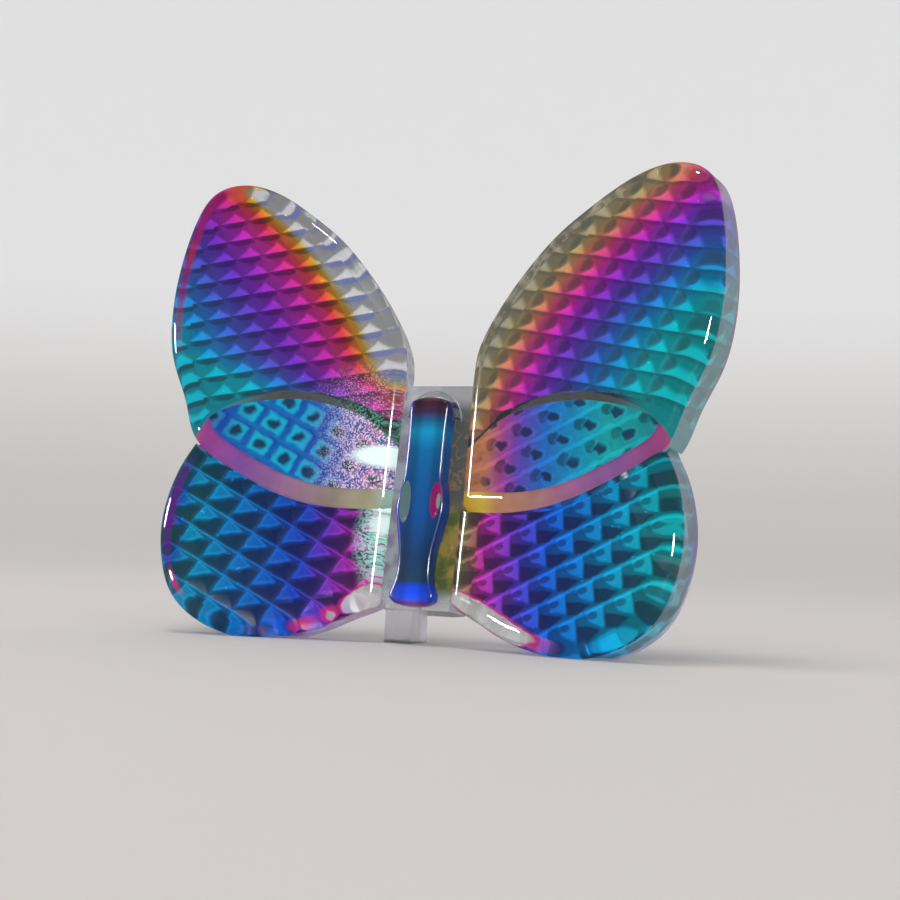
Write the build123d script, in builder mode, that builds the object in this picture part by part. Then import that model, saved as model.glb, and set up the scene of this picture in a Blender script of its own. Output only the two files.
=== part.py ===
from build123d import *
import math
import os

# Butterfly ornament of pressed glass: two overlapping wings each side, joined
# by a web behind the bar-shaped body. The backs carry a lattice of pyramids.
# Each wing is drawn flat in its own plane, outward from the hinge line (first
# number) and up along it (second number). The left side mirrors the right.

# Posture
sweep_angle = 10.0            # degrees that each wing swings forward of the body
lean_angle = 11.0             # degrees that the hinge line leans back
ground_flat = 0.76            # how much of the hindwings' lowest edge is ground flat
hinge_setback = 3.2           # distance of that point behind the origin

# Forewing
fore_reach = 35.7
fore_rise = 30.5
fore_drop = 10.0
# Hindwing
hind_reach = 33.0
hind_drop = 26.2
tongue_rise = 4.1             # how far the covered part rises behind the forewing

# Glass thickness, measured from the plane through the middle of the wings
wing_back = 3.0
fore_front = 2.9
hind_front = 2.5
lap_level = -0.3              # front face of the hindwing's covered part
crown_radius = 300.0
rim_slope = 1.0               # front rim, sloped once and then again
rim_ease = 0.45
corner_radius = 1.8
bond = 0.3                    # clear bond between pieces

# Pyramid lattice on the backs
rim_width = 2.0               # plain rim round the lattice
pyramid_recess = 0.15         # points stay this far inside the back face
pyramid_height = 1.15
fore_step_out = (3.37, -0.70)
fore_step_down = (-1.32, -2.25)
hind_step_out = (3.29, 1.55)
hind_step_down = (1.53, -2.66)

# Web behind the body
web_reach = 4.4               # half width, from the hinge line to the wing roots
web_top = 5.4
web_bottom = 21.4
web_front = 0.5
web_back = 3.4                # how far the web's back stands behind the hinge line
web_back_reach = 3.0
heel_rise = 5.0               # how far the foot runs up the web's back
foot_width = 3.4
foot_offset = 2.6             # centre of the foot, left of the hinge line
foot_front = 1.0              # front and back of the foot, behind the hinge line
foot_back = 6.4

# Body
body_top = 4.9
body_bottom = 20.8
body_half_width = 2.1
body_proud = 3.4
body_round = 1.2
body_arch = 1.7               # height of the arched top
body_lip_arch = 0.8           # height of the curved lower lip

overrun = 6.0                 # how far a cutting solid runs past the glass
quarter_turn = 90             # degrees
margin_samples = 28           # points along a grown outline

sweep = math.radians(sweep_angle)
lean = math.radians(lean_angle)
up_dir = Vector(0, math.sin(lean), math.cos(lean))
front_dir = Vector(0, -math.cos(lean), math.sin(lean))
side_dir = Vector(1, 0, 0)
lowest_share = 0.66           # where along the hindwing its lowest point lies
low_back = wing_back * math.cos(sweep) - lowest_share * hind_reach * math.sin(sweep)
hinge_height = hind_drop * math.cos(lean) + low_back * math.sin(lean) - ground_flat
hinge = Vector(0, hinge_setback, hinge_height)
span_dir = side_dir * math.cos(sweep) + front_dir * math.sin(sweep)
wing_normal = front_dir * math.cos(sweep) - side_dir * math.sin(sweep)
wing = Plane(origin=hinge, x_dir=span_dir, z_dir=wing_normal)
bar = Plane(origin=hinge, x_dir=side_dir, z_dir=front_dir)
root = web_reach + bond


def scaled(shares, reach, rise):
    """Points given as shares of a reach and a rise."""
    return [(across * reach, up * rise) for across, up in shares]


# Outlines, as shares of each wing's reach and rise or drop
fore_edge_shares = [
    (0.145, 0.33), (0.24, 0.53), (0.38, 0.73), (0.52, 0.86), (0.67, 0.965), (0.80, 1.0),
    (0.91, 0.955), (0.97, 0.80), (1.0, 0.52), (0.98, 0.27), (0.905, 0.07), (0.84, -0.10),
]
fore_root_top_share = 0.175
fore_lower_shares = [(0.67, -0.67), (0.50, -0.91), (0.33, -1.0)]
fore_root_bottom_share = 0.97
hind_edge_shares = [
    (0.25, -0.86), (0.37, -0.935), (0.51, -0.985), (0.66, -1.0), (0.82, -0.94), (0.935, -0.82),
    (0.992, -0.63), (1.0, -0.44), (0.965, -0.25), (0.905, -0.10),
]
hind_root_bottom_share = 0.80
tongue_shares = [(0.86, 0.10), (0.73, 0.71), (0.55, 1.0), (0.37, 0.71), (0.25, 0.10)]
tongue_root_drop = 3.2
body_side_shares = [
    (1.0, 0.0), (1.0, 0.22), (1.04, 0.40), (1.38, 0.49), (1.52, 0.56), (1.38, 0.66), (1.17, 0.84),
    (1.43, 1.0),
]
fore_crown_share = (0.62, 0.38)
hind_crown_share = (0.62, 0.55)


def wing_face(points, grow):
    """Face bounded by a spline through the points and by the straight root.

    A margin grows the face outwards, or shrinks it when negative.
    """
    with BuildSketch() as face:
        with BuildLine():
            curve = Spline(*points)
            Line(curve @ 1, curve @ 0)
        make_face()
    if not grow:
        return face.sketch
    beside = []
    for index in range(margin_samples + 1):
        tangent = curve % (index / margin_samples)
        beside.append(curve @ (index / margin_samples) + Vector(tangent.Y, -tangent.X) * grow)
    inner = root - abs(grow) - overrun
    with BuildSketch() as grown:
        with BuildLine():
            margin = Spline(*beside)
            Polyline(margin @ 1, (inner, (margin @ 1).Y), (inner, (margin @ 0).Y), margin @ 0)
        make_face()
        with Locations((root - grow, 0)):
            Rectangle(
                2 * fore_reach, 4 * fore_rise, align=(Align.MIN, Align.CENTER), mode=Mode.INTERSECT,
            )
    return grown.sketch


def fore_outline(grow=0.0):
    """Face of the forewing's outline, grown outwards by a margin."""
    top = (root, fore_root_top_share * fore_rise)
    low = (root, -fore_root_bottom_share * fore_drop)
    edge = scaled(fore_edge_shares, fore_reach, fore_rise)
    lower = scaled(fore_lower_shares, fore_reach, fore_drop)
    return wing_face([low, *reversed(lower), *reversed(edge), top], grow)


def hind_outline(grow=0.0):
    """Face of the hindwing's outline with its covered tongue."""
    low = (root, -hind_root_bottom_share * hind_drop)
    high = (root, -tongue_root_drop)
    edge = scaled(hind_edge_shares, hind_reach, hind_drop)
    tongue = scaled(tongue_shares, hind_reach, tongue_rise)
    return wing_face([low, *edge, *tongue, high], grow)


def sawtooth(step_along, step_across, reach, level):
    """Solid of parallel V grooves that run along one step of the lattice."""
    along = Vector(*step_along)
    pitch = abs(along.X * step_across[1] - along.Y * step_across[0]) / along.length
    count = math.ceil(reach / pitch)
    run_dir = (wing.x_dir * along.X + wing.y_dir * along.Y).normalized()
    start = wing.origin + wing.z_dir * level - run_dir * reach
    section = Plane(origin=start, x_dir=run_dir.cross(wing.z_dir), z_dir=run_dir)
    tooth = []
    for index in range(-count, count):
        tooth.append((index * pitch, 0))
        tooth.append(((index + 0.5) * pitch, -pyramid_height))
    tooth.append((count * pitch, 0))
    with BuildPart() as cutter:
        with BuildSketch(section):
            with BuildLine():
                Polyline(*tooth, (count * pitch, overrun), (-count * pitch, overrun), close=True)
            make_face()
        extrude(amount=2 * reach)
    return cutter.part


def lattice_cut(step_out, step_down, window, reach):
    """The two families of V grooves, kept inside a window of the back."""
    level = -wing_back + pyramid_recess
    solids = []
    for along, across in ((step_out, step_down), (step_down, step_out)):
        with BuildPart() as field:
            with BuildSketch(wing.offset(-wing_back - overrun)):
                add(window)
            extrude(amount=overrun + wing_back)
            add(sawtooth(along, across, reach, level), mode=Mode.INTERSECT)
        solids.append(field.part)
    return solids


def crown(centre_share, reach, rise, front):
    """Large ball whose skin is the domed front of a wing."""
    centre = (centre_share[0] * reach, centre_share[1] * rise, front - crown_radius)
    with BuildPart(wing) as ball:
        with Locations(centre):
            Sphere(crown_radius, rotation=(quarter_turn, 0, 0))
    return ball.part


def wing_point(out, front):
    """Point of the right wing's section, as distances right of and behind the hinge."""
    across = out * math.cos(sweep) - front * math.sin(sweep)
    behind = -out * math.sin(sweep) - front * math.cos(sweep)
    return across, behind


fore_face = fore_outline()
hind_face = hind_outline()
thickness_axis = Axis(hinge, wing_normal)

with BuildPart() as right_forewing:
    with BuildSketch(wing.offset(-wing_back)):
        add(fore_face)
    extrude(amount=wing_back + fore_front)
    fillet(right_forewing.edges().filter_by(thickness_axis), corner_radius)
    add(crown(fore_crown_share, fore_reach, fore_rise, fore_front), mode=Mode.INTERSECT)
    for slope in (rim_slope, rim_ease):
        chamfer(right_forewing.faces().filter_by(GeomType.SPHERE).edges(), slope)
    with BuildSketch(wing.offset(-wing_back - overrun)):
        add(hind_outline(bond))
    extrude(amount=overrun + wing_back + lap_level + bond, mode=Mode.SUBTRACT)
    with BuildSketch() as fore_window:
        add(fore_outline(-rim_width))
        add(hind_outline(bond + rim_width), mode=Mode.SUBTRACT)
    for field in lattice_cut(fore_step_out, fore_step_down, fore_window.sketch, fore_reach + overrun):
        add(field, mode=Mode.SUBTRACT)
right_forewing.part.label = "right_forewing"

with BuildPart() as right_hindwing:
    with BuildSketch(wing.offset(-wing_back)):
        add(hind_face)
    extrude(amount=wing_back + hind_front)
    fillet(right_hindwing.edges().filter_by(thickness_axis), corner_radius)
    add(crown(hind_crown_share, hind_reach, -hind_drop, hind_front), mode=Mode.INTERSECT)
    for slope in (rim_slope, rim_ease):
        chamfer(right_hindwing.faces().filter_by(GeomType.SPHERE).edges(), slope)
    with BuildSketch(wing.offset(lap_level)):
        add(fore_outline(bond))
    extrude(amount=hind_front + overrun, mode=Mode.SUBTRACT)
    hind_window = hind_outline(-rim_width)
    for field in lattice_cut(hind_step_out, hind_step_down, hind_window, hind_reach + overrun):
        add(field, mode=Mode.SUBTRACT)
    split(bisect_by=Plane.XY, keep=Keep.TOP)
right_hindwing.part.label = "right_hindwing"

web_section = Plane(origin=hinge - up_dir * web_bottom, x_dir=side_dir, z_dir=up_dir)
side_section = Plane(origin=hinge - side_dir * foot_offset, x_dir=-front_dir, z_dir=side_dir)
web_face = -wing_point(web_reach, web_front)[1]
with BuildPart() as web:
    with BuildSketch(web_section):
        right_back = wing_point(web_reach, -wing_back)
        right_front = wing_point(web_reach, web_front)
        with BuildLine():
            behind = Line((0, web_back), (web_back_reach, web_back))
            beside = Polyline(behind @ 1, right_back, right_front, (0, -web_face))
            mirror([behind, beside], about=Plane.YZ)
        make_face()
    extrude(amount=web_bottom + web_top)
    with BuildSketch(side_section):
        Polygon(
            (0, -web_bottom), (web_back, -web_bottom + heel_rise), (foot_back, -hinge_height - overrun),
            (foot_front, -hinge_height - overrun), align=None,
        )
    extrude(amount=foot_width / 2, both=True)
    split(bisect_by=Plane.XY, keep=Keep.TOP)
web.part.label = "web"

body_shoulder = body_top - body_arch
body_run = body_shoulder + body_bottom - body_lip_arch
body_side = [
    (across * body_half_width, body_shoulder - down * body_run) for across, down in body_side_shares
]
with BuildPart() as body:
    with BuildSketch(bar.offset(web_face + bond)):
        with BuildLine():
            side = Spline(*body_side)
            mirror(side, about=Plane.YZ)
            ThreePointArc(body_side[0], (0, body_top), (-body_half_width, body_shoulder))
            ThreePointArc(body_side[-1], (0, -body_bottom), (-body_side[-1][0], body_side[-1][1]))
        make_face()
    extrude(amount=body_proud)
    fillet(body.faces().sort_by(Axis(hinge, front_dir))[-1].edges(), body_round)
body.part.label = "body"

with BuildPart() as body_bond:
    with BuildSketch(bar.offset(web_face)):
        with Locations((0, body_shoulder - body_run / 2)):
            Rectangle(2 * (body_half_width - bond), body_run)
    extrude(amount=bond)
body_bond.part.label = "body_bond"

with BuildPart() as right_root_bond:
    with BuildSketch(wing.offset(-wing_back)):
        with Locations((web_reach + bond / 2, (web_top - web_bottom) / 2)):
            Rectangle(bond, web_top + web_bottom - 2 * corner_radius)
    extrude(amount=wing_back + web_front)
right_root_bond.part.label = "right_root_bond"

with BuildPart() as right_lap_bond:
    with BuildSketch(wing.offset(lap_level)):
        add(hind_face)
        add(fore_face, mode=Mode.INTERSECT)
    extrude(amount=bond)
right_lap_bond.part.label = "right_lap_bond"

with BuildPart() as left_forewing:
    mirror(right_forewing.part, about=Plane.YZ)
left_forewing.part.label = "left_forewing"

with BuildPart() as left_hindwing:
    mirror(right_hindwing.part, about=Plane.YZ)
left_hindwing.part.label = "left_hindwing"

with BuildPart() as left_root_bond:
    mirror(right_root_bond.part, about=Plane.YZ)
left_root_bond.part.label = "left_root_bond"

with BuildPart() as left_lap_bond:
    mirror(right_lap_bond.part, about=Plane.YZ)
left_lap_bond.part.label = "left_lap_bond"

os.makedirs("parts", exist_ok=True)
export_step(body.part, "parts/body.step")
export_step(body_bond.part, "parts/body_bond.step")
export_step(web.part, "parts/web.step")
export_step(left_forewing.part, "parts/left_forewing.step")
export_step(left_hindwing.part, "parts/left_hindwing.step")
export_step(left_root_bond.part, "parts/left_root_bond.step")
export_step(left_lap_bond.part, "parts/left_lap_bond.step")
export_step(right_forewing.part, "parts/right_forewing.step")
export_step(right_hindwing.part, "parts/right_hindwing.step")
export_step(right_root_bond.part, "parts/right_root_bond.step")
export_step(right_lap_bond.part, "parts/right_lap_bond.step")
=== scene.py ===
import math

import bmesh
import bpy
from mathutils import Matrix, Vector
from mathutils.geometry import delaunay_2d_cdt


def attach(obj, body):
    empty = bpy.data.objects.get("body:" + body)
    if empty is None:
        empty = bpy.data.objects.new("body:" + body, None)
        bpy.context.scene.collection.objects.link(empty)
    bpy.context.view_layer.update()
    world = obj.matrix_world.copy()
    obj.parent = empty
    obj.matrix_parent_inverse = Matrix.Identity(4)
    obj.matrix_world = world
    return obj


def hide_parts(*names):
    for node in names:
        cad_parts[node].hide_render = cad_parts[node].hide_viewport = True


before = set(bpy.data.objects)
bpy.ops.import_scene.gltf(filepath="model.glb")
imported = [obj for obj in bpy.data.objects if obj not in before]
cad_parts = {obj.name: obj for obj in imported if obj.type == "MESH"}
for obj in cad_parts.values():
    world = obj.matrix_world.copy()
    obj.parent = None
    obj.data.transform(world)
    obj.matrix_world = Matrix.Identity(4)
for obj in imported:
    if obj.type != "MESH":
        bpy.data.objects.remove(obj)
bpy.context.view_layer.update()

# Butterfly ornament of pressed glass. Each wing is worked out flat, in millimetres
# outward from the hinge line (out), up along it (up) and forward of the wing's
# middle plane (front), and is then placed by that wing's own frame.
MM = 0.001

# Posture of the wings
SWEEP = math.radians(10.0)
LEAN = math.radians(11.0)
HINGE = Vector((0, 3.2, 24.8))
UP = Vector((0, math.sin(LEAN), math.cos(LEAN)))
FRONT = Vector((0, -math.cos(LEAN), math.sin(LEAN)))
SIDE = Vector((1, 0, 0))

# Wing sizes
FORE_REACH, FORE_RISE, FORE_DROP = 35.7, 30.5, 10.0
HIND_REACH, HIND_DROP, TONGUE_RISE = 33.0, 26.2, 2.7
ROOT = 4.7
WING_BACK = 3.0
FORE_FRONT, HIND_FRONT = 2.9, 2.5
LAP_LEVEL = -0.3
BOND = 0.3
CROWN_RADIUS = 300.0
FRONT_ROUND = 1.7
RIM_WIDTH = 2.0
PYRAMID_RECESS, PYRAMID_HEIGHT = 0.15, 1.15
ARC_WIDTH, BAND_WIDTH = 1.4, 2.5
CLEARANCE = 0.03

# Lattice of the pyramids: its two steps, and one crossing of its grooves on the right and left wing
FORE_STEPS = ((3.37, -0.70), (-1.32, -2.25))
HIND_STEPS = ((3.29, 1.55), (1.53, -2.66))
FORE_CROSSING = {1: (29.6, 15.65), -1: (27.09, 11.10)}
HIND_CROSSING = {1: (25.76, -8.84), -1: (21.69, -13.57)}
# Middle of one dark mark seen through the lap, painted shade of a pyramid behind it
LAP_MARK = {1: (12.6, -0.45), -1: (22.0, -2.8)}

# How finely the shapes are drawn
OUTLINE_SPACING, BODY_SPACING = 0.6, 0.7
CORNER_PASSES = 3
DOME_SPACING, DOME_MARGIN = 1.6, 0.5
LEVEL_GAP = 1e-3
CREASE, BODY_CREASE = math.radians(38), math.radians(32)
# The flat drawing keeps the inside of its outline, and merges points closer than a distance
KEEP_INSIDE, MERGE_DISTANCE = 1, 1e-5

GLASS_IOR = 1.5
# Gloss of the coated faces, and where it starts beside the body, outward
COATED = {"Roughness": 0.3, "Specular_IOR_Level": 0.1}
GLOSS_START = (5.4, 7.0)

FORE_EDGE_SHARES = (
    (0.145, 0.33), (0.24, 0.53), (0.38, 0.73), (0.52, 0.86), (0.67, 0.965), (0.80, 1.0),
    (0.91, 0.955), (0.97, 0.80), (1.0, 0.52), (0.98, 0.27), (0.905, 0.07), (0.84, -0.10),
)
FORE_ROOT_SHARES = (0.175, 0.97)
FORE_LOWER_SHARES = ((0.67, -0.67), (0.50, -0.91), (0.33, -1.0))
HIND_EDGE_SHARES = (
    (0.25, -0.86), (0.37, -0.935), (0.51, -0.985), (0.66, -1.0), (0.82, -0.94), (0.935, -0.82),
    (0.992, -0.63), (1.0, -0.44), (0.965, -0.25), (0.905, -0.10),
)
HIND_ROOT_SHARE = 0.80
TONGUE_SHARES = ((0.86, 0.10), (0.73, 0.71), (0.55, 1.0), (0.37, 0.71), (0.25, 0.10))
TONGUE_ROOT_DROP = 3.2
FORE_CROWN_SHARE = (0.62, 0.38)
HIND_CROWN_SHARE = (0.62, 0.55)


def pairs(loop):
    """Each stretch of a closed loop, as its two ends."""
    return list(zip(loop, loop[1:] + loop[:1]))


def scaled(shares, reach, rise):
    """Points given as shares of a reach and a rise."""
    return [(out * reach, up * rise) for out, up in shares]


def wing_frame(side):
    """The three directions of a wing's frame: side is 1 on the right and -1 on the left."""
    span = SIDE * side * math.cos(SWEEP) + FRONT * math.sin(SWEEP)
    normal = FRONT * math.cos(SWEEP) - SIDE * side * math.sin(SWEEP)
    return span, UP, normal


def smooth_path(points, spacing):
    """Points along a curve through the given ones, at about even spacing."""
    padded = [2 * Vector(points[0]) - Vector(points[1])] + [Vector(p) for p in points]
    padded.append(2 * Vector(points[-1]) - Vector(points[-2]))
    path = []
    for before, start, end, after in zip(padded, padded[1:], padded[2:], padded[3:]):
        steps = max(2, math.ceil((end - start).length / spacing))
        for index in range(steps):
            share = index / steps
            path.append(0.5 * (
                2 * start + (end - before) * share
                + (2 * before - 5 * start + 4 * end - after) * share ** 2
                + (3 * start - before - 3 * end + after) * share ** 3
            ))
    path.append(Vector(points[-1]))
    return path


def closed_outline(points):
    """Closed outline through the points, with its straight root and softened corners."""
    path = smooth_path(points, OUTLINE_SPACING)
    gap = (path[0] - path[-1]).length
    count = max(2, round(gap / OUTLINE_SPACING))
    path += [path[-1].lerp(path[0], index / count) for index in range(1, count)]
    for _ in range(CORNER_PASSES):
        path = [(path[i - 1] + 2 * path[i] + path[(i + 1) % len(path)]) / 4 for i in range(len(path))]
    return path


def inset(path, amount):
    """The outline moved inwards by a distance, for one that runs counter-clockwise."""
    moved = []
    for index, point in enumerate(path):
        along = path[(index + 1) % len(path)] - path[index - 1]
        moved.append(point + Vector((-along.y, along.x)).normalized() * amount)
    return moved


def fore_outline():
    """Outline of a forewing, from its root along the lower edge and back over the top."""
    root = [(ROOT, -FORE_ROOT_SHARES[1] * FORE_DROP)]
    lower = list(reversed(scaled(FORE_LOWER_SHARES, FORE_REACH, FORE_DROP)))
    edge = list(reversed(scaled(FORE_EDGE_SHARES, FORE_REACH, FORE_RISE)))
    return closed_outline(root + lower + edge + [(ROOT, FORE_ROOT_SHARES[0] * FORE_RISE)])


def hind_outline():
    """Outline of a hindwing with its tongue, from its root along the lower edge and back over the top."""
    root = [(ROOT, -HIND_ROOT_SHARE * HIND_DROP)]
    edge = scaled(HIND_EDGE_SHARES, HIND_REACH, HIND_DROP)
    tongue = scaled(TONGUE_SHARES, HIND_REACH, TONGUE_RISE)
    return closed_outline(root + edge + tongue + [(ROOT, -TONGUE_ROOT_DROP)])


def inside(point, path):
    """Whether a point lies within a closed outline."""
    within = False
    for start, end in pairs(path):
        if (start.y > point.y) != (end.y > point.y):
            if point.x < start.x + (point.y - start.y) * (end.x - start.x) / (end.y - start.y):
                within = not within
    return within


def edge_distance(point, path):
    """Distance from a point to the nearest stretch of a closed outline."""
    nearest = math.inf
    for start, end in pairs(path):
        along = end - start
        share = max(0.0, min(1.0, (point - start).dot(along) / along.length_squared))
        nearest = min(nearest, (point - start - along * share).length)
    return nearest


def lattice_coordinates(point, steps, phase):
    """Place of a point in the lattice, counted in its two steps."""
    (ax, ay), (bx, by) = steps
    det = ax * by - ay * bx
    out, up = point[0] - phase[0], point[1] - phase[1]
    return (out * by - up * bx) / det, (up * ax - out * ay) / det


def pyramid_level(point, steps, phase):
    """Height of the pyramids' skin over the groove bottoms, from nought to one."""
    across, down = lattice_coordinates(point, steps, phase)
    return min(2 * abs(share - math.floor(share + 0.5)) for share in (across, down))


def crossing(start, end, first, last):
    """Shares along two segments at the point where they cross."""
    along, other, gap = end - start, last - first, first - start
    det = along.x * other.y - along.y * other.x
    if abs(det) < 1e-9:
        return None
    share = (gap.x * other.y - gap.y * other.x) / det
    other_share = (gap.x * along.y - gap.y * along.x) / det
    return (share, other_share) if 0 <= share <= 1 and 0 <= other_share <= 1 else None


def cut_by(outline, loops):
    """The outline with an extra point wherever one of the loops crosses it."""
    result = []
    for start, end in pairs(outline):
        found = [crossing(start, end, *stretch) for loop in loops for stretch in pairs(loop)]
        shares = sorted(hit[0] for hit in found if hit)
        result += [start] + [start.lerp(end, share) for share in shares if 0.01 < share < 0.99]
    return result


def lattice_edges(window, steps, phase):
    """Groove and ridge lines of the pyramids, as one short segment per side of a facet."""
    (ax, ay), (bx, by) = steps
    places = [lattice_coordinates(point, steps, phase) for point in window]
    low = [math.floor(min(place[k] for place in places)) for k in (0, 1)]
    high = [math.ceil(max(place[k] for place in places)) for k in (0, 1)]
    edges = []
    for across in range(low[0], high[0] + 1):
        for down in range(low[1], high[1] + 1):
            middle = (across + 0.5, down + 0.5)
            edges += [((across, down), (across + 1, down)), ((across, down), (across, down + 1))]
            edges += [((across + i, down + j), middle) for i in (0, 1) for j in (0, 1)]

    def spot(place):
        across, down = place
        return Vector((phase[0] + across * ax + down * bx, phase[1] + across * ay + down * by))

    return [(spot(start), spot(end)) for start, end in edges]


def drawn(outline, loops, edges, points, wanted):
    """Flat triangles of an outline, with the loops and the wanted parts of the edges kept as edges."""
    extra = [[[] for _ in loop] for loop in loops]
    coords, kept, shared = [], [], {}

    def index_of(point):
        key = (round(point.x, 4), round(point.y, 4))
        if key not in shared:
            shared[key] = len(coords)
            coords.append(point)
        return shared[key]

    rim = [index_of(point) for point in outline]
    for start, end in edges:
        hits = [(0.0, None), (1.0, None)]
        for number, loop in enumerate(loops):
            for place, stretch in enumerate(pairs(loop)):
                hit = crossing(start, end, *stretch)
                if hit:
                    hits.append((hit[0], (number, place, hit[1])))
        hits.sort(key=lambda hit: hit[0])
        for (low, low_hit), (high, high_hit) in zip(hits, hits[1:]):
            if high - low > 1e-4 and wanted(start.lerp(end, (low + high) / 2)):
                ends = []
                for share, hit in ((low, low_hit), (high, high_hit)):
                    ends.append(index_of(start.lerp(end, share)))
                    if hit:
                        extra[hit[0]][hit[1]].append((hit[2], ends[-1]))
                if ends[0] != ends[1]:
                    kept.append(tuple(ends))
    for loop, added in zip(loops, extra):
        chain = []
        for point, places in zip(loop, added):
            chain += [index_of(point)] + [number for _, number in sorted(places)]
        kept += [pair for pair in pairs(chain) if pair[0] != pair[1]]
    coords.extend(points)
    spots, _, faces, _, _, sources = delaunay_2d_cdt(coords, kept, [rim], KEEP_INSIDE, MERGE_DISTANCE)
    return spots, [corners for corners, source in zip(faces, sources) if source]


def grid_points(outline, spacing, margin):
    """Even points inside an outline, for a dome to bend over."""
    xs = [p.x for p in outline]
    ys = [p.y for p in outline]
    row_step = spacing * math.sqrt(3) / 2
    points = []
    for row in range(math.ceil((max(ys) - min(ys)) / row_step)):
        for column in range(math.ceil((max(xs) - min(xs)) / spacing)):
            point = Vector((min(xs) + (column + 0.5 * (row % 2)) * spacing, min(ys) + row * row_step))
            if inside(point, outline) and edge_distance(point, outline) > margin:
                points.append(point)
    return points


def made_piece(sheet, name):
    """Object made from a finished sheet, which is then freed."""
    mesh = bpy.data.meshes.new(name)
    sheet.to_mesh(mesh)
    sheet.free()
    piece = bpy.data.objects.new(name, mesh)
    bpy.context.scene.collection.objects.link(piece)
    return piece


class Plate:
    """Closed piece of wing glass, from the flat drawings of its front and its back."""

    def __init__(self, name, side, outline, materials):
        self.name, self.side, self.outline = name, side, outline
        self.materials = materials
        self.labels = list(materials)
        self.levels, self.faces, self.walls, self.rims = {}, [], [], {}

    def key(self, point):
        return round(point[0], 3), round(point[1], 3)

    def add_skin(self, drawing, region_of, level_of, facing, steps):
        """Faces of one side, and the steps between its regions."""
        coords, faces = drawing
        borders = {}
        for corners in faces:
            middle = sum((coords[i] for i in corners), Vector((0, 0))) / len(corners)
            region = region_of(middle)
            spots = [(coords[i], level_of(region, coords[i])) for i in corners]
            for point, level in spots:
                self.levels.setdefault(self.key(point), set()).add(level)
            self.faces.append((spots, region, facing))
            for first, second in pairs(corners):
                border = (min(first, second), max(first, second))
                borders.setdefault(border, []).append((first, second, region))
        for uses in borders.values():
            first, second, region = uses[0]
            ends = (coords[first], coords[second])
            levels = tuple(level_of(region, point) for point in ends)
            if len(uses) == 1:
                pair = tuple(sorted(self.key(point) for point in ends))
                self.rims.setdefault(pair, []).append((ends, levels))
            elif region != uses[1][2]:
                others = tuple(level_of(uses[1][2], point) for point in ends)
                label = steps.get(frozenset((region, uses[1][2])), region)
                self.walls.append((ends, levels, others, label))

    def column(self, point, start, end):
        """Levels met on the way up or down a wall's edge, so that its neighbours share them."""
        low, high = min(start, end) + LEVEL_GAP, max(start, end) - LEVEL_GAP
        between = [level for level in self.levels[self.key(point)] if low < level < high]
        return [start, *sorted(between, reverse=start > end), end]

    def wall_spots(self, ends, levels, others):
        """Corners of an upright face between two levels over one stretch."""
        up_column = [(ends[1], level) for level in self.column(ends[1], levels[1], others[1])]
        down_column = [(ends[0], level) for level in self.column(ends[0], others[0], levels[0])]
        return up_column + down_column

    def build(self):
        """Join the two skins by the wing's side wall, and make the piece."""
        span, rise, normal = wing_frame(self.side)
        sheet = bmesh.new()
        layer = sheet.verts.layers.float.new("rim_distance")
        made = {}

        def vertex(point, level):
            key = (*self.key(point), round(level, 3))
            if key not in made:
                place = HINGE + span * point[0] + rise * point[1] + normal * level
                place.z = max(place.z, 0.0)
                made[key] = sheet.verts.new(place * MM)
                made[key][layer] = edge_distance(Vector(point[:2]), self.outline)
            return made[key]

        for pair, uses in self.rims.items():
            if len(uses) == 2:
                (ends, levels), (other_ends, others) = uses
                if self.key(ends[0]) != self.key(other_ends[0]):
                    others = others[::-1]
                self.walls.append((ends, levels, others, "edge"))
        upright = [(self.wall_spots(*wall[:3]), wall[3], 0) for wall in self.walls]
        for spots, region, facing in self.faces + upright:
            corners = []
            for point, level in spots:
                corner = vertex(point, level)
                if corner not in corners:
                    corners.append(corner)
            if len(corners) < 3:
                continue
            if facing * self.side < 0:
                corners.reverse()
            face = sheet.faces.get(corners) or sheet.faces.new(corners)
            face.material_index = self.labels.index("lattice" if region == "rim" else region)
            face.smooth = region != "lattice"
        bmesh.ops.recalc_face_normals(sheet, faces=sheet.faces)
        piece = made_piece(sheet, self.name)
        piece.data.set_sharp_from_angle(angle=CREASE)
        for label in self.labels:
            piece.data.materials.append(self.materials[label])
        return piece


def rounded_front(crown, top, outline):
    """Height of the domed front, with its rounded rim, at any point."""
    def level(_, point):
        fall = ((point[0] - crown[0]) ** 2 + (point[1] - crown[1]) ** 2) / (2 * CROWN_RADIUS)
        into = min(edge_distance(Vector(point[:2]), outline), FRONT_ROUND)
        return top - fall - FRONT_ROUND + math.sqrt(FRONT_ROUND ** 2 - (FRONT_ROUND - into) ** 2)
    return level


def rim_loops(outline):
    """Loops that carry the rounded front rim, closer together where it turns faster."""
    turns = (0.12, 0.25, 0.4, 0.58, 0.78, 1.0)
    return [inset(outline, FRONT_ROUND * (1 - math.cos(turn * math.pi / 2))) for turn in turns]


def groove_level(steps, phase):
    """Height of the pyramids' skin on a wing's back, at any point."""
    def level(point):
        groove = -WING_BACK + PYRAMID_RECESS + PYRAMID_HEIGHT
        return groove - PYRAMID_HEIGHT * pyramid_level(point, steps, phase)
    return level


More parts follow.
